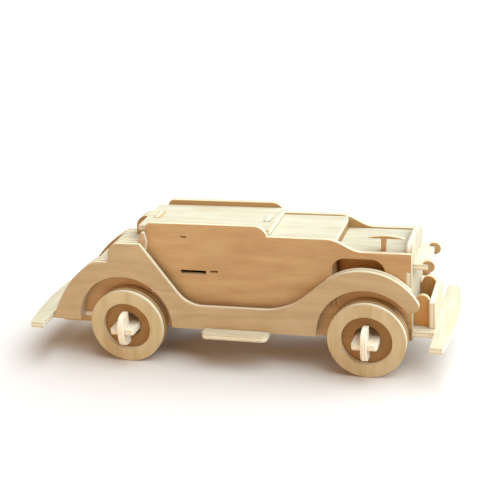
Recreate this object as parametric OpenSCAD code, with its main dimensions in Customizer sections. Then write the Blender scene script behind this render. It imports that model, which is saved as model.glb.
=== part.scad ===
// Plywood vintage car, a three-dimensional jigsaw model of flat interlocking plates.
// X runs forwards, Y to the car's left, Z up. The origin is on the ground below the middle of the car.
// Plates are cut from one sheet thickness and join with tabs, halved slots and glued faces.

/* [Sheet] */
// Thickness of the plywood that every plate is cut from
ply = 3; // [2.8:0.1:3.2]

/* [Wheels] */
// Radius of a wheel
wheel_r = 20; // [19:0.5:21]
// Radius of the round window in a wheel's outer ring
ring_window_r = 13; // [12.5:0.5:14]
// Radius of the round hole that the axle strip turns in
bore_r = 6.8; // [6.75:0.01:6.85]
// Distance between the two axles
wheelbase = 128; // [127:0.5:129]
// Distance between the outer faces of the left and right wheels
track_outer = 60; // [60:1:64]

/* [Axles] */
// Width of the flat axle strip
strip_w = 13; // [12.9:0.1:13]
// Height of an axle key from end to end
key_h = 17.2; // [16:0.2:18]

/* [Body] */
// Height of the cabin's side panels above the ground
cabin_z = 75; // [74:0.5:76]
// Height of the bonnet above the ground
bonnet_z = 63.3; // [63:0.1:64]
// Half of the distance between the outer faces of the side panels
body_half = 20; // [19.5:0.1:20]
// Height of the sill's upper edge above the ground
sill_z = 32; // [31:0.5:33]

/* [Bumpers] */
// Length of the front bumper from side to side
front_bumper_l = 78; // [76:1:84]
// Length of the rear bumper from side to side
rear_bumper_l = 76; // [72:1:80]

/* [Hidden] */
$fn = 96;

// Axles: the strip lies across the car at the wheels' centre height.
front_x = 70.5;
rear_x = front_x - wheelbase;
axle_z = wheel_r;
wheel_out = track_outer / 2;
ring_in = wheel_out - ply;
hub_in = ring_in - ply;

// Axle ends: the key's flat side, its depth across the car, and the halved joint with the strip.
key_flat = wheel_out - 0.6;
key_depth = 10;
key_round = 6.5;
lap = key_flat + 4;
strip_end = lap + 4;
strip_round = 1.5;

// Side plates stand in three layers, from the body outwards.
panel_in = body_half - ply;
arch_ply_out = body_half + ply;
fender_out = arch_ply_out + ply;

// Heights of the flat plates' undersides.
sill_bottom = 19;
panel_bottom = 17;
floor_z = 27;
apron_z = 20;
floor_top = floor_z + ply;
apron_top = apron_z + ply;
roof_z = cabin_z - 2.5 - ply;
cowl_top = 69.5;
cowl_z = 66;
bonnet_underside = bonnet_z - 0.5 - ply;

// Places along the car.
windshield_x = 14;
cabin_back_x = -46;
firewall_x = 51;
radiator_x = 89;
nose_x = radiator_x + ply;
grille_x = 100;
tail_x = -101.5;
tail_foot = -98;
floor_back = -64;
roof_x = [-50.5, 20];
cowl_end = 50;
bonnet_start = 68;
deck_x = [-74, -63];
rear_apron_x = [-100, -68];
front_apron_back = 80;
grille_top = 37;
front_bumper_x = [102.8, 109.3, 113];
rear_bumper_x = [102, 109, 113];
tail_low = 20.5;
step_low = 54.3;
step_high = 65.2;
riser_x = -65.7;
riser_r = 6.5;
cabin_front_x = 13;
cabin_front_r = 6.5;
cabin_rear_x = -45.5;
cabin_rear_r = 3;

// Wheel arches and the sweeping fender line.
front_arch = [69.5, 20];
front_arch_r = 25.5;
rear_arch = [-59.5, 20.5];
rear_arch_r = 26;
crown = [68.7, 24.2];
crown_r = 31.5;
tip_angle = 31;
tip_r = 3.8;
fender_corner = [-47.7, step_high];
front_sweep_x = 16.5;
front_sweep_r = 34;
rear_sweep_x = -16;
rear_sweep_r = 16;
lobe_r = 11;

// Tabs: [lowest, highest] along the edge that they stand on.
floor_tabs = [[-30, -10], [20, 40]];
firewall_tab = [34, 44];
radiator_tab = [43.5, 54];
back_tab = [36, 46];
apron_tab = [-92, -80];
deck_tab = [-72, -66];
board_tab = [-10, 10];
// Slits in the cabin's sides, each given by its two spans.
belt_slits = [[[-28.4, -14.2], [47.6, 49.8]], [[-12, -7.7], [48.8, 50]], [[-26.7, -23.4], [67.6, 68.5]]];
// Round-topped opening in the bonnet's side.
vent_x = [52, 79];
vent_low = 49;
vent_mid = 53;
vent_r = 7;
board_back = -15.5;
board_front = 19.5;
board_out = 33;
engine_plate_y = 8.8;
roof_tab_half = 5;
mirror_x = 76.4;
mirror_y = -15;
stalk_w = 2.5;
horn_y = 11;
lamp_centre = [99.5, 55];
lamp_r = 3.1;
lamp_bar_z = [53.5, 56.5];
lamp_bar_half = horn_y + ply + 1;
lamp_tab_half = 7;
finger_top = 70.5;
apron_half = 22;
apron_front = 105;
tongue_half = 9;
front_tongue = [97, apron_front];
rear_tongue = [-102, -90];

face = [0.80, 0.67, 0.48];
pale = [0.95, 0.90, 0.76];
inner = [0.74, 0.50, 0.28];

function arc(c, r, from, to, n = 10) =
  [for (i = [0 : n]) let (a = from + (to - from) * i / n) [c[0] + r * cos(a), c[1] + r * sin(a)]];
function bend(p0, p1, p2, n = 10) =
  [for (i = [0 : n]) let (t = i / n) (1 - t) * (1 - t) * p0 + 2 * t * (1 - t) * p1 + t * t * p2];
function ease(p0, p1, n = 10) =
  [for (i = [0 : n]) let (t = i / n)
    [p0[0] + (p1[0] - p0[0]) * t, p0[1] + (p1[1] - p0[1]) * (1 - cos(180 * t)) / 2]];
// Rounded tail with two steps, from the rear bottom corner up to the front of the upper step.
function tail() = concat(
  bend([tail_x, tail_low], [-91.5, 45.5], [-74, step_low], 12),
  [[riser_x, step_low]],
  arc([riser_x + riser_r, step_high - riser_r], riser_r, 180, 90, 6));
tip_centre = crown + (crown_r - tip_r) * [cos(tip_angle), sin(tip_angle)];
function front_crown(from, to) = arc(crown, crown_r, from, to, 16);
// Angle at which a circle of radius r, centred h above a line, crosses that line.
function dip(h, r) = asin(h / r);

// Plates: along the car (xz), across it (yz) and lying flat (xy). Each takes a flat outline.
module xz_plate(y) { translate([0, y + ply, 0]) rotate([90, 0, 0]) linear_extrude(ply) children(); }
module yz_plate(x) { translate([x, 0, 0]) rotate([90, 0, 90]) linear_extrude(ply) children(); }
module xy_plate(z) { translate([0, 0, z]) linear_extrude(ply) children(); }
// Rectangle given by its two spans.
module span(a, b) { translate([a[0], b[0]]) square([a[1] - a[0], b[1] - b[0]]); }
module on_left() { mirror([0, 1, 0]) children(); }
// Round bore along Y for an axle.
module bore(x) {
  translate([x, 0, axle_z]) rotate([90, 0, 0]) cylinder(r = bore_r, h = 4 * track_outer, center = true);
}

module panel_outline() {
  lobe = dip(axle_z - panel_bottom, lobe_r);
  polygon(concat(
    [[tail_foot, panel_bottom]], tail(),
    [[cabin_rear_x, step_high]],
    arc([cabin_rear_x + cabin_rear_r, cabin_z - cabin_rear_r], cabin_rear_r, 180, 90, 6),
    arc([cabin_front_x, cabin_z - cabin_front_r], cabin_front_r, 90, 10, 8),
    ease([cowl_end, cowl_top], [bonnet_start, bonnet_z]),
    [[nose_x, bonnet_z], [nose_x, panel_bottom]],
    arc([front_x, axle_z], lobe_r, -lobe, -180 + lobe, 14),
    arc([rear_x, axle_z], lobe_r, -lobe, -180 + lobe, 14)));
}
// Slots for the tabs of the plates that cross the body.
module panel_slots() {
  for (t = floor_tabs) span(t, [floor_z, floor_top]);
  span([firewall_x, firewall_x + ply], firewall_tab);
  span([cabin_back_x, cabin_back_x + ply], back_tab);
  span([radiator_x, nose_x], radiator_tab);
  span(apron_tab, [apron_z, apron_top]);
  span(deck_tab, [step_low - ply, step_low]);
  span(board_tab, [panel_bottom, panel_bottom + ply]);
}
// Belt-line slits, a drip notch and the arched opening above the front fender.
module panel_openings() {
  for (slit = belt_slits) span(slit[0], slit[1]);
  polygon(concat(
    [[vent_x[0], vent_low]],
    arc([vent_x[0] + vent_r, vent_mid], vent_r, 180, 90, 6),
    arc([vent_x[1] - vent_r, vent_mid], vent_r, 90, 0, 6),
    [[vent_x[1], vent_low]]));
}
module side_panel() {
  difference() {
    xz_plate(-body_half) difference() {
      panel_outline();
      panel_slots();
      panel_openings();
    }
    bore(front_x);
    bore(rear_x);
  }
}
module side_panel_right() { color(face) side_panel(); }
module side_panel_left() { color(face) on_left() side_panel(); }

module fender_outline() {
  polygon(concat(
    tail(),
    [fender_corner],
    arc([rear_sweep_x, sill_z + rear_sweep_r], rear_sweep_r, 215, 270),
    arc([front_sweep_x, sill_z + front_sweep_r], front_sweep_r, 270, 308),
    front_crown(128, tip_angle),
    arc(tip_centre, tip_r, tip_angle, -100, 8),
    arc(front_arch, front_arch_r, 34, 180 + dip(front_arch[1] - sill_bottom, front_arch_r), 24),
    [[board_front, sill_bottom], [board_front, apron_z], [board_back, apron_z],
     [board_back, sill_bottom]],
    arc(rear_arch, rear_arch_r, -dip(rear_arch[1] - sill_bottom, rear_arch_r), 180, 24)));
}
module fender_right() { color(face) xz_plate(-fender_out) fender_outline(); }
module fender_left() { color(face) on_left() fender_right(); }

module front_arch_ply() {
  xz_plate(-arch_ply_out)
    polygon(concat(front_crown(128, 42), arc(front_arch, front_arch_r, 42, 150, 18)));
}
module front_arch_ply_right() { color(pale) front_arch_ply(); }
module front_arch_ply_left() { color(pale) on_left() front_arch_ply(); }

// Peaked finger that stands on the upper step, behind the cabin.
function finger() =
  [[-49, step_high], [-47.2, finger_top], [-45.6, finger_top], [-44.6, step_high], [-46, 60]];
module rear_arch_ply() {
  xz_plate(-arch_ply_out)
    polygon(concat(
      tail(), finger(), arc(rear_arch, rear_arch_r, 48, 180, 20)));
}
module rear_arch_ply_right() { color(pale) rear_arch_ply(); }
module rear_arch_ply_left() { color(pale) on_left() rear_arch_ply(); }

module running_board() {
  corner = 3;
  xy_plate(panel_bottom) {
    span([board_back, board_front], [corner - board_out, -body_half]);
    span([board_back + corner, board_front - corner], [-board_out, -body_half]);
    for (x = [board_back + corner, board_front - corner]) translate([x, corner - board_out]) circle(corner);
    span(board_tab, [-body_half, -panel_in]);
  }
}
module running_board_right() { color(pale) running_board(); }
module running_board_left() { color(pale) on_left() running_board(); }

module floor_plate() {
  color(inner) xy_plate(floor_z) {
    span([floor_back, radiator_x], [-panel_in, panel_in]);
    for (t = floor_tabs) span(t, [-body_half, body_half]);
  }
}
module firewall() {
  color(inner) yz_plate(firewall_x) {
    span([-panel_in, panel_in], [floor_top, cowl_z]);
    span([-body_half, body_half], firewall_tab);
  }
}
module windshield_panel() {
  color(pale) yz_plate(windshield_x) {
    span([-panel_in, panel_in], [floor_top, roof_z]);
    span([-roof_tab_half, roof_tab_half], [roof_z, roof_z + ply + 0.5]);
  }
}
module cabin_back_panel() {
  color(inner) yz_plate(cabin_back_x) {
    span([-panel_in, panel_in], [floor_top, roof_z]);
    span([-body_half, body_half], back_tab);
    span([-roof_tab_half, roof_tab_half], [roof_z, roof_z + ply + 0.5]);
  }
}
module roof_panel() {
  color(pale) xy_plate(roof_z) difference() {
    span(roof_x, [-panel_in, panel_in]);
    for (x = [windshield_x, cabin_back_x]) span([x, x + ply], [-roof_tab_half, roof_tab_half]);
  }
}
module cowl_panel() {
  color(pale) xy_plate(cowl_z) span([windshield_x + ply, firewall_x + ply], [-panel_in, panel_in]);
}
module bonnet_panel() {
  color(pale) xy_plate(bonnet_underside) difference() {
    span([firewall_x + ply, radiator_x], [-panel_in, panel_in]);
    span([mirror_x, mirror_x + stalk_w], [mirror_y, mirror_y + ply]);
  }
}
// Inner walls that show through the openings above the front fenders.
module engine_plate() {
  xz_plate(-engine_plate_y - ply)
    span([firewall_x + ply, radiator_x], [floor_top, bonnet_underside]);
}
module engine_plate_right() { color(inner) engine_plate(); }
module engine_plate_left() { color(inner) on_left() engine_plate(); }

module radiator_panel() {
  corner = 4;
  top = 67;
  color(pale) yz_plate(radiator_x) difference() {
    union() {
      span([-panel_in, panel_in], [apron_top, top - corner]);
      span([corner - panel_in, panel_in - corner], [apron_top, top]);
      for (y = [corner - panel_in, panel_in - corner]) translate([y, top - corner]) circle(corner);
      span([-body_half, body_half], radiator_tab);
    }
    span([-lamp_tab_half, lamp_tab_half], lamp_bar_z);
  }
}
module front_apron() {
  color(pale) xy_plate(apron_z) difference() {
    union() {
      span([front_apron_back, nose_x], [-panel_in, panel_in]);
      span([nose_x, apron_front], [-apron_half, apron_half]);
    }
    span([front_tongue[0], apron_front + 1], [-tongue_half, tongue_half]);
  }
}
module grille_panel() { color(pale) yz_plate(grille_x) span([-panel_in, panel_in], [apron_top, grille_top]); }

module horn_plate() {
  top = 39.5;
  round_r = (grille_x - nose_x - 1) / 2;
  xz_plate(-horn_y - ply) {
    span([nose_x, grille_x], [apron_top, top - round_r]);
    translate([grille_x - round_r, top - round_r]) circle(round_r);
  }
}
module horn_plate_right() { color(inner) horn_plate(); }
module horn_plate_left() { color(inner) on_left() horn_plate(); }

// Flat bar that is let into the radiator and carries both lamps.
module lamp_bar() {
  color(pale) xy_plate(lamp_bar_z[0]) {
    span([nose_x, lamp_centre[0]], [-lamp_bar_half, lamp_bar_half]);
    span([radiator_x, nose_x], [-lamp_tab_half, lamp_tab_half]);
  }
}
// Round lamp, slotted from behind to sit on the bar.
module headlamp() {
  xz_plate(-horn_y - ply) difference() {
    translate(lamp_centre) circle(lamp_r);
    span([lamp_centre[0] - 2 * lamp_r, lamp_centre[0]], lamp_bar_z);
  }
}
module headlamp_right() { color(face) headlamp(); }
module headlamp_left() { color(face) on_left() headlamp(); }

// Mirror: a shallow bow on a stalk that stands through the bonnet.
module bonnet_mirror() {
  bow_r = 32;
  bow_z = 69.3;
  bow_angle = 17;
  mid = 78.9;
  stalk_low = 57;
  color(face) xz_plate(mirror_y)
    polygon(concat(
      [[mirror_x + stalk_w, bow_z], [mirror_x + stalk_w, stalk_low], [mirror_x, stalk_low],
       [mirror_x, bow_z]],
      arc([mid, bow_z - bow_r * cos(bow_angle)], bow_r, 90 + bow_angle, 90 - bow_angle, 12)));
}
module rear_deck() {
  color(pale) xy_plate(step_low - ply) {
    span(deck_x, [-panel_in, panel_in]);
    span(deck_tab, [-body_half, body_half]);
  }
}
module rear_apron() {
  color(pale) xy_plate(apron_z) difference() {
    union() {
      span(rear_apron_x, [-panel_in, panel_in]);
      span(apron_tab, [-body_half, body_half]);
    }
    span(rear_tongue, [-tongue_half, tongue_half]);
  }
}
// Outline of a bowed bumper. The places are its inner edge, and its outer edge at the ends and in the middle.
module bow(length, places) {
  half = length / 2;
  inner_x = places[0];
  end_x = places[1];
  pull = 2 * places[2] - end_x;
  polygon(concat(
    [[inner_x, -half]], bend([end_x, -half], [pull, 0], [end_x, half], 20), [[inner_x, half]]));
}
// The bumpers lie in the plane of the aprons, and their tongues fill the aprons' notches.
module front_bumper() {
  color(pale) xy_plate(apron_z) {
    difference() {
      bow(front_bumper_l, front_bumper_x);
      span([grille_x, apron_front], [-apron_half, apron_half]);
    }
    span(front_tongue, [-tongue_half, tongue_half]);
  }
}
module rear_bumper() {
  color(pale) xy_plate(apron_z) {
    mirror([1, 0]) bow(rear_bumper_l, rear_bumper_x);
    span(rear_tongue, [-tongue_half, tongue_half]);
  }
}

// Flat strip across the car, halved at both ends for the keys.
module axle_strip(x) {
  round_x = strip_w / 2 - strip_round;
  round_y = strip_end - strip_round;
  color(pale) translate([x, 0, 0]) xy_plate(axle_z - ply / 2) difference() {
    hull() for (cx = [-round_x, round_x], cy = [-round_y, round_y]) translate([cx, cy]) circle(strip_round);
    span([-ply / 2, ply / 2], [lap, strip_end + 1]);
    span([-ply / 2, ply / 2], [-strip_end - 1, -lap]);
  }
}
module front_axle_strip() { axle_strip(front_x); }
module rear_axle_strip() { axle_strip(rear_x); }

// Key with a rounded outer edge that laps across the end of a strip.
module axle_key(x) {
  round_y = key_flat + key_depth - key_round;
  half = key_h / 2;
  color(pale) translate([0, 0, axle_z]) yz_plate(x - ply / 2) difference() {
    intersection() {
      hull() {
        span([-round_y, -key_flat], [-half, half]);
        for (z = [key_round - half, half - key_round]) translate([-round_y, z]) circle(key_round);
      }
      span([-key_flat - key_depth, -key_flat], [-half, half]);
    }
    span([-lap, 1 - key_flat], [-ply / 2, ply / 2]);
  }
}
module front_key_right() { axle_key(front_x); }
module front_key_left() { on_left() axle_key(front_x); }
module rear_key_right() { axle_key(rear_x); }
module rear_key_left() { on_left() axle_key(rear_x); }

// Wheel plies: an open ring outside and two bored discs inside it.
module wheel_ply(x, y, hole_r) {
  translate([x, y, axle_z]) rotate([-90, 0, 0]) difference() {
    cylinder(r = wheel_r, h = ply);
    translate([0, 0, -1]) cylinder(r = hole_r, h = ply + 2);
  }
}
module ring(x) { color(face) wheel_ply(x, -wheel_out, ring_window_r); }
module hub(x) { color(inner) wheel_ply(x, -ring_in, bore_r); }
module backing(x) { color(inner) wheel_ply(x, -hub_in, bore_r); }

side_panel_right();
side_panel_left();
fender_right();
fender_left();
front_arch_ply_right();
front_arch_ply_left();
rear_arch_ply_right();
rear_arch_ply_left();
running_board_right();
running_board_left();
floor_plate();
firewall();
windshield_panel();
cabin_back_panel();
roof_panel();
cowl_panel();
bonnet_panel();
engine_plate_right();
engine_plate_left();
radiator_panel();
front_apron();
grille_panel();
horn_plate_right();
horn_plate_left();
lamp_bar();
headlamp_right();
headlamp_left();
bonnet_mirror();
rear_deck();
rear_apron();
front_bumper();
rear_bumper();
front_axle_strip();
rear_axle_strip();
front_key_right();
front_key_left();
rear_key_right();
rear_key_left();
ring(front_x);  // front_wheel_right_ring
hub(front_x);  // front_wheel_right_hub
backing(front_x);  // front_wheel_right_backing
on_left() ring(front_x);  // front_wheel_left_ring
on_left() hub(front_x);  // front_wheel_left_hub
on_left() backing(front_x);  // front_wheel_left_backing
ring(rear_x);  // rear_wheel_right_ring
hub(rear_x);  // rear_wheel_right_hub
backing(rear_x);  // rear_wheel_right_backing
on_left() ring(rear_x);  // rear_wheel_left_ring
on_left() hub(rear_x);  // rear_wheel_left_hub
on_left() backing(rear_x);  // rear_wheel_left_backing
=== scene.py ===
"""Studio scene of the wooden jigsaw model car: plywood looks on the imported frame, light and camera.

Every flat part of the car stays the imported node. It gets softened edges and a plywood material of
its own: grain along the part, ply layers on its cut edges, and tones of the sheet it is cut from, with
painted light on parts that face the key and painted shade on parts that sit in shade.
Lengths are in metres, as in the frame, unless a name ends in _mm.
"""

import math
import random

import bpy
from mathutils import Matrix, Vector


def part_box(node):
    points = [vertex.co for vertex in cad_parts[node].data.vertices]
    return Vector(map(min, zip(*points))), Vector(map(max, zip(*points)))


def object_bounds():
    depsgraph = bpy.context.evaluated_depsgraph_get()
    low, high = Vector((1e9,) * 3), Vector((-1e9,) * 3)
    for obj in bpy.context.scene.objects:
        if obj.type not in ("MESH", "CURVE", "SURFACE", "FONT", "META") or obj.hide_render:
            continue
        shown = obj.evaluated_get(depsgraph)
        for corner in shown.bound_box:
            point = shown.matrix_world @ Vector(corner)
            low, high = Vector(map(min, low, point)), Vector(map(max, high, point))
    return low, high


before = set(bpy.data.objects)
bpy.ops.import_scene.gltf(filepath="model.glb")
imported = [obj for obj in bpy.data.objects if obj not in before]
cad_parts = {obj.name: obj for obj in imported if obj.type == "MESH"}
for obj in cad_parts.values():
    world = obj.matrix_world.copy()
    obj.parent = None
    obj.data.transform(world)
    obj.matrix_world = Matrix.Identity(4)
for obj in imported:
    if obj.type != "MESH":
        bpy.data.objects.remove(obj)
cad_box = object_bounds()

MM = 0.001

# ---------------------------------------------------------------- camera

CAMERA_TARGET = Vector((13.4, -30.0, 66.5)) * MM
CAMERA_DISTANCE = 0.5648
CAMERA_AZIMUTH = math.radians(17.1)
CAMERA_ELEVATION = math.radians(21.07)
CAMERA_ROLL = math.radians(-3.9)
CAMERA_LENS_MM = 81.9
SENSOR_MM = 36.0


def add_camera():
    """The camera looks at the target from in front of the car's right side, with a slight roll."""
    data = bpy.data.cameras.new("camera")
    data.sensor_width = SENSOR_MM
    data.lens = CAMERA_LENS_MM
    data.clip_start = 0.01
    data.clip_end = 50.0
    camera = bpy.data.objects.new("camera", data)
    bpy.context.collection.objects.link(camera)
    level = math.cos(CAMERA_ELEVATION)
    back = Vector((
        math.sin(CAMERA_AZIMUTH) * level,
        -math.cos(CAMERA_AZIMUTH) * level,
        math.sin(CAMERA_ELEVATION),
    ))
    turn = (-back).to_track_quat("-Z", "Y").to_matrix().to_4x4()
    place = Matrix.Translation(CAMERA_TARGET + back * CAMERA_DISTANCE)
    camera.matrix_world = place @ turn @ Matrix.Rotation(CAMERA_ROLL, 4, "Z")
    bpy.context.scene.camera = camera


# ---------------------------------------------------------------- light and floor

FLOOR_HALF = 6.0
FLOOR_COLOUR = (0.71, 0.61, 0.53, 1.0)
WORLD_COLOUR = (1.0, 0.84, 0.66, 1.0)
WORLD_STRENGTH = 0.36
KEY_FROM = Vector((0.60, 0.22, 0.80))
KEY_ANGLE = math.radians(90)
KEY_STRENGTH = 7.4
KEY_COLOUR = (0.66, 0.84, 1.0)
FILL_PLACE = (-0.35, -1.1, 0.35)
FILL_SIDE = 0.8
FILL_POWER = 3.5
FILL_COLOUR = (1.0, 0.56, 0.22)


def add_softbox(name, place, aim, side, power, colour):
    """A square area light at a place, aimed at a point."""
    data = bpy.data.lights.new(name, "AREA")
    data.shape = "SQUARE"
    data.size = side
    data.energy = power
    data.color = colour
    light = bpy.data.objects.new(name, data)
    bpy.context.collection.objects.link(light)
    light.location = place
    light.rotation_euler = (Vector(aim) - Vector(place)).to_track_quat("-Z", "Y").to_euler()


def add_studio():
    """A pale floor, an even world, a soft key light from the upper right and a weak warm fill."""
    low, high = cad_box
    middle = (low + high) / 2

    half = FLOOR_HALF
    floor_mesh = bpy.data.meshes.new("floor")
    corners = [(-half, -half, low.z), (half, -half, low.z), (half, half, low.z), (-half, half, low.z)]
    floor_mesh.from_pydata(corners, [], [(0, 1, 2, 3)])
    floor = bpy.data.objects.new("floor", floor_mesh)
    bpy.context.collection.objects.link(floor)
    paper = bpy.data.materials.new("floor_paper")
    paper.use_nodes = True
    shader = paper.node_tree.nodes["Principled BSDF"]
    shader.inputs["Base Color"].default_value = FLOOR_COLOUR
    shader.inputs["Roughness"].default_value = 0.9
    shader.inputs["Specular IOR Level"].default_value = 0.1
    floor_mesh.materials.append(paper)

    world = bpy.data.worlds.new("studio")
    world.use_nodes = True
    sky = world.node_tree.nodes["Background"]
    sky.inputs["Color"].default_value = WORLD_COLOUR
    sky.inputs["Strength"].default_value = WORLD_STRENGTH
    bpy.context.scene.world = world

    data = bpy.data.lights.new("key", "SUN")
    data.energy = KEY_STRENGTH
    data.angle = KEY_ANGLE
    data.color = KEY_COLOUR
    key = bpy.data.objects.new("key", data)
    bpy.context.collection.objects.link(key)
    key.rotation_euler = (-KEY_FROM).to_track_quat("-Z", "Y").to_euler()
    add_softbox("warm_fill", FILL_PLACE, middle, FILL_SIDE, FILL_POWER, FILL_COLOUR)

    bpy.context.scene.view_settings.view_transform = "Standard"


# ---------------------------------------------------------------- shader nodes


def add(tree, kind, sockets=(), out=0, **settings):
    """Adds one shader node and returns one of its outputs. Socket values are plain or outputs."""
    made = tree.nodes.new("ShaderNode" + kind)
    for name, value in settings.items():
        setattr(made, name, value)
    for name, value in dict(sockets).items():
        if isinstance(value, bpy.types.NodeSocket):
            tree.links.new(value, made.inputs[name])
        else:
            made.inputs[name].default_value = value
    return made.outputs[out]


def calc(tree, operation, a, b=0.0, c=0.0):
    """One step of arithmetic on numbers."""
    return add(tree, "Math", {0: a, 1: b, 2: c}, operation=operation)


def between(tree, value, low, high):
    """0 below low, 1 above high, and a smooth step from one to the other."""
    return add(
        tree,
        "MapRange",
        {"Value": value, "From Min": low, "From Max": high},
        interpolation_type="SMOOTHSTEP",
    )


def stretched(tree, vector, sizes_mm):
    """The vector divided by a feature's size along the grain, across it and through the plate."""
    scale = tuple(1.0 / size for size in sizes_mm)
    return add(tree, "VectorMath", {0: vector, 1: scale}, operation="MULTIPLY")


def noise(tree, vector, sizes_mm, detail=2.0, roughness=0.5, distortion=0.0):
    """Soft noise with features of the given sizes."""
    return add(
        tree,
        "TexNoise",
        {
            "Vector": stretched(tree, vector, sizes_mm),
            "Scale": 1.0,
            "Detail": detail,
            "Roughness": roughness,
            "Distortion": distortion,
        },
    )


def blend(tree, factor, a, b, blend_type="MIX"):
    """Mixes two colours."""
    mix = tree.nodes.new("ShaderNodeMix")
    mix.data_type = "RGBA"
    mix.blend_type = blend_type
    sockets = {0: factor, 6: a, 7: b}
    for index, value in sockets.items():
        if isinstance(value, bpy.types.NodeSocket):
            tree.links.new(value, mix.inputs[index])
        else:
            mix.inputs[index].default_value = value
    return mix.outputs[2]


# ---------------------------------------------------------------- plywood

CORE_HALF_MM = 0.85
CORE_BLUR_MM = 0.04
GLUE_HALF_MM = 0.09
LAYER_WAVER_MM = 0.16
EDGE_NORMAL = (0.45, 0.85)
GROWTH_BANDS = 9.0
TONE_RANGE = (0.94, 1.06)
HUE_RANGE = (-0.004, 0.004)
TEXTURE_SHIFT_MM = 500
BUMP_STRENGTH = 0.35
BUMP_DEPTH = 0.1 * MM

# veneer, streak, core seen on cut edges and glue line of each sheet; the pale core is partly the middle ply's
# tone and partly a painted highlight that keeps cut edges bright as if lit by the key
TAN_SHEET = ((0.57, 0.36, 0.165, 1), (0.45, 0.25, 0.10, 1), (0.78, 0.64, 0.44, 1), (0.42, 0.26, 0.12, 1))
GREY_SHEET = ((0.59, 0.42, 0.235, 1), (0.47, 0.31, 0.155, 1), (0.80, 0.68, 0.48, 1), (0.42, 0.27, 0.13, 1))
# painted light: a paler copy of the plywood for parts that face up and forward into the key, standing in for
# their strong lighting
PAINTED_LIGHT_SHEET = ((0.63, 0.54, 0.38, 1), (0.53, 0.41, 0.25, 1), (0.78, 0.68, 0.50, 1), (0.44, 0.30, 0.16, 1))
# painted shade: a saturated orange copy of the plywood for the horn and engine plates, standing in for warm
# shade behind openings
PAINTED_WARM_SHADE_SHEET = ((0.68, 0.36, 0.125, 1), (0.56, 0.27, 0.08, 1), (0.78, 0.60, 0.38, 1), (0.42, 0.22, 0.09, 1))
# painted shade: a dark copy of the plywood for the hubs, backing, floor plate and firewall, which sit in
# recesses and shade
PAINTED_DEEP_SHADE_SHEET = ((0.37, 0.20, 0.065, 1), (0.29, 0.14, 0.04, 1), (0.50, 0.32, 0.15, 1), (0.26, 0.13, 0.05, 1))
SHEETS = {
    "panel_ply": TAN_SHEET,
    "wheel_ply": ((0.63, 0.49, 0.29, 1), (0.50, 0.35, 0.17, 1), (0.82, 0.70, 0.52, 1), (0.42, 0.27, 0.13, 1)),
    "axle_ply": ((0.84, 0.74, 0.57, 1), (0.75, 0.60, 0.41, 1), (0.86, 0.76, 0.58, 1), (0.54, 0.38, 0.21, 1)),
}
# plates listed here take a painted light or painted shade copy of the plywood, except the fender and arch
# ply, which take the grey sheet
TONES_WITH_PAINTED_LIGHT_OF_PART = {
    "hub": PAINTED_DEEP_SHADE_SHEET,
    "backing": PAINTED_DEEP_SHADE_SHEET,
    "floor_plate": PAINTED_DEEP_SHADE_SHEET,
    "firewall": PAINTED_DEEP_SHADE_SHEET,
    "horn_plate": PAINTED_WARM_SHADE_SHEET,
    "engine_plate": PAINTED_WARM_SHADE_SHEET,
    "fender": GREY_SHEET,
    "arch_ply": GREY_SHEET,
    "roof": PAINTED_LIGHT_SHEET,
    "bonnet_panel": PAINTED_LIGHT_SHEET,
    "cowl": PAINTED_LIGHT_SHEET,
    "bumper": PAINTED_LIGHT_SHEET,
    "running_board": PAINTED_LIGHT_SHEET,
    "apron": PAINTED_LIGHT_SHEET,
    "grille": PAINTED_LIGHT_SHEET,
    "radiator": PAINTED_LIGHT_SHEET,
    "deck": PAINTED_LIGHT_SHEET,
    "lamp_bar": PAINTED_LIGHT_SHEET,
    "windshield": PAINTED_LIGHT_SHEET,
}


def tones_with_painted_light(name, slot):
    """The tones of a plate: the plywood of its sheet, or a painted light copy for parts that face the key and
    a painted shade copy for parts in shade.
    """
    for part, sheet in TONES_WITH_PAINTED_LIGHT_OF_PART.items():
        if part in name:
            return sheet
    return SHEETS[slot]


def plate_frame(name):
    """The plate's axes as columns, grain, across and thickness, and the plate's centre."""
    low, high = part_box(name)
    size = high - low
    order = sorted(range(3), key=lambda axis: size[axis])
    thickness, grain = order[0], order[2]
    if "wheel" in name:
        grain = 0 if "hub" in name else 2
    columns = Matrix.Identity(3)
    columns.col[0] = Vector([float(axis == grain) for axis in range(3)])
    columns.col[2] = Vector([float(axis == thickness) for axis in range(3)])
    columns.col[1] = columns.col[2].cross(columns.col[0])
    return columns, (low + high) / 2


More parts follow.
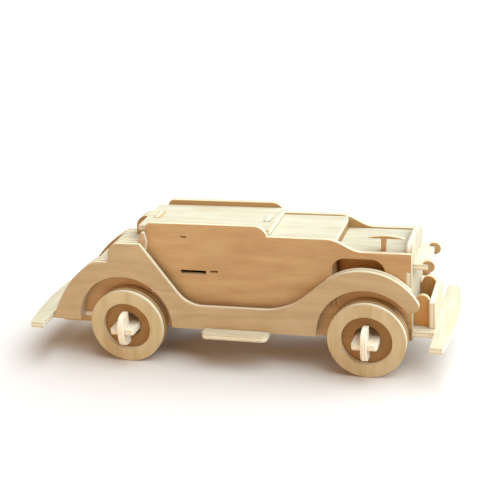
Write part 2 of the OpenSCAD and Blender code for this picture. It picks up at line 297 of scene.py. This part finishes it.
def plywood(name, slot, rng):
    """The material of one plate, in that plate's own axes."""
    material = bpy.data.materials.new("plywood_" + name)
    material.use_nodes = True
    tree = material.node_tree
    shader = tree.nodes["Principled BSDF"]
    veneer, streak, core, glue = tones_with_painted_light(name, slot)

    columns, centre = plate_frame(name)
    turn = columns.to_euler()
    coordinates = tree.nodes.new("ShaderNodeTexCoord")
    in_plate = add(
        tree,
        "Mapping",
        {"Vector": coordinates.outputs["Object"], "Location": centre, "Rotation": turn, "Scale": (MM,) * 3},
        vector_type="TEXTURE",
    )
    facing = add(
        tree,
        "Mapping",
        {"Vector": coordinates.outputs["Normal"], "Rotation": turn},
        vector_type="TEXTURE",
    )
    depth = add(tree, "SeparateXYZ", {0: in_plate}, out=2)
    facing_depth = calc(tree, "ABSOLUTE", add(tree, "SeparateXYZ", {0: facing}, out=2))
    cut_edge = calc(tree, "SUBTRACT", 1.0, between(tree, facing_depth, *EDGE_NORMAL))
    shift = tuple(rng.uniform(-TEXTURE_SHIFT_MM, TEXTURE_SHIFT_MM) for axis in range(3))
    place = add(tree, "VectorMath", {0: in_plate, 1: shift}, operation="ADD")

    # growth bands, as contours of a slow noise
    slow = noise(tree, place, (110, 16, 16), detail=1.0, distortion=0.3)
    bands = calc(tree, "PINGPONG", calc(tree, "MULTIPLY", slow, GROWTH_BANDS), 1.0)
    fibre = noise(tree, place, (16, 0.42, 0.42), detail=4.0, roughness=0.6)
    mottle = noise(tree, place, (14, 6, 6), detail=3.0)
    flecks = between(tree, noise(tree, place, (2.6, 0.22, 0.22), detail=1.0), 0.66, 0.74)

    streaks = calc(tree, "MULTIPLY_ADD", bands, 0.20, calc(tree, "MULTIPLY", fibre, 0.65))
    streaks = calc(tree, "MULTIPLY_ADD", mottle, 0.45, streaks)
    face_colour = blend(tree, between(tree, streaks, 0.35, 0.95), veneer, streak)
    face_colour = blend(tree, calc(tree, "MULTIPLY", flecks, 0.30), face_colour, glue)

    # cut edge: two face veneers, a cross-grained core and the glue lines between them
    from_middle = calc(tree, "ABSOLUTE", depth)
    waver = calc(tree, "MULTIPLY_ADD", noise(tree, place, (7, 7, 7)), LAYER_WAVER_MM, -LAYER_WAVER_MM / 2)
    layer = calc(tree, "ADD", from_middle, waver)
    past_core = between(tree, layer, CORE_HALF_MM - CORE_BLUR_MM, CORE_HALF_MM + CORE_BLUR_MM)
    in_core = calc(tree, "SUBTRACT", 1.0, past_core)
    off_glue = calc(tree, "ABSOLUTE", calc(tree, "SUBTRACT", layer, CORE_HALF_MM))
    on_glue = calc(tree, "SUBTRACT", 1.0, between(tree, off_glue, GLUE_HALF_MM * 0.5, GLUE_HALF_MM * 2))
    end_grain = noise(tree, place, (0.45, 0.45, 0.9), detail=3.0, roughness=0.65)
    # the pale core tone is the middle ply and also a painted highlight on the cut edges
    edge_colour = blend(tree, in_core, veneer, core)
    edge_colour = blend(tree, between(tree, end_grain, 0.45, 0.95), edge_colour, streak)
    edge_colour = blend(tree, calc(tree, "MULTIPLY", on_glue, 0.55), edge_colour, glue)

    colour = blend(tree, cut_edge, face_colour, edge_colour)
    tone = rng.uniform(*TONE_RANGE)
    colour = add(
        tree,
        "HueSaturation",
        {"Color": colour, "Hue": 0.5 + rng.uniform(*HUE_RANGE), "Value": tone},
    )
    tree.links.new(colour, shader.inputs["Base Color"])

    relief = calc(tree, "MULTIPLY_ADD", fibre, 0.6, calc(tree, "MULTIPLY", flecks, -0.5))
    edge_relief = calc(tree, "MULTIPLY_ADD", end_grain, 1.0, calc(tree, "MULTIPLY", on_glue, -0.5))
    height = add(tree, "Mix", {"Factor": cut_edge, "A": relief, "B": edge_relief})
    bump = add(tree, "Bump", {"Strength": BUMP_STRENGTH, "Distance": BUMP_DEPTH, "Height": height})
    tree.links.new(bump, shader.inputs["Normal"])

    roughness = calc(tree, "MULTIPLY_ADD", fibre, 0.20, 0.50)
    tree.links.new(roughness, shader.inputs["Roughness"])
    shader.inputs["Specular IOR Level"].default_value = 0.35
    return material


# ---------------------------------------------------------------- edges

EDGE_RADIUS = 0.30 * MM
EDGE_SEGMENTS = 3
EDGE_ANGLE = math.radians(35)
WELD_DISTANCE = 0.002 * MM
FLAT_ANGLE = math.radians(0.2)


def soften(node):
    """Rounds a plate's sharp edges, and keeps its flat faces flat."""
    weld = node.modifiers.new("weld", "WELD")
    weld.merge_threshold = WELD_DISTANCE
    flatten = node.modifiers.new("flatten", "DECIMATE")
    flatten.decimate_type = "DISSOLVE"
    flatten.angle_limit = FLAT_ANGLE
    bevel = node.modifiers.new("bevel", "BEVEL")
    bevel.width = EDGE_RADIUS
    bevel.segments = EDGE_SEGMENTS
    bevel.limit_method = "ANGLE"
    bevel.angle_limit = EDGE_ANGLE
    bevel.use_clamp_overlap = True
    bevel.miter_outer = "MITER_ARC"
    normals = node.modifiers.new("normals", "WEIGHTED_NORMAL")
    normals.keep_sharp = False
    normals.weight = 100


def dress_plates():
    """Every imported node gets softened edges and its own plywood."""
    rng = random.Random(7)
    for name in sorted(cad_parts):
        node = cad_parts[name]
        slot = node.material_slots[0].material.name
        node.material_slots[0].link = "OBJECT"
        node.material_slots[0].material = plywood(name, slot, rng)
        soften(node)


add_camera()
add_studio()
dress_plates()
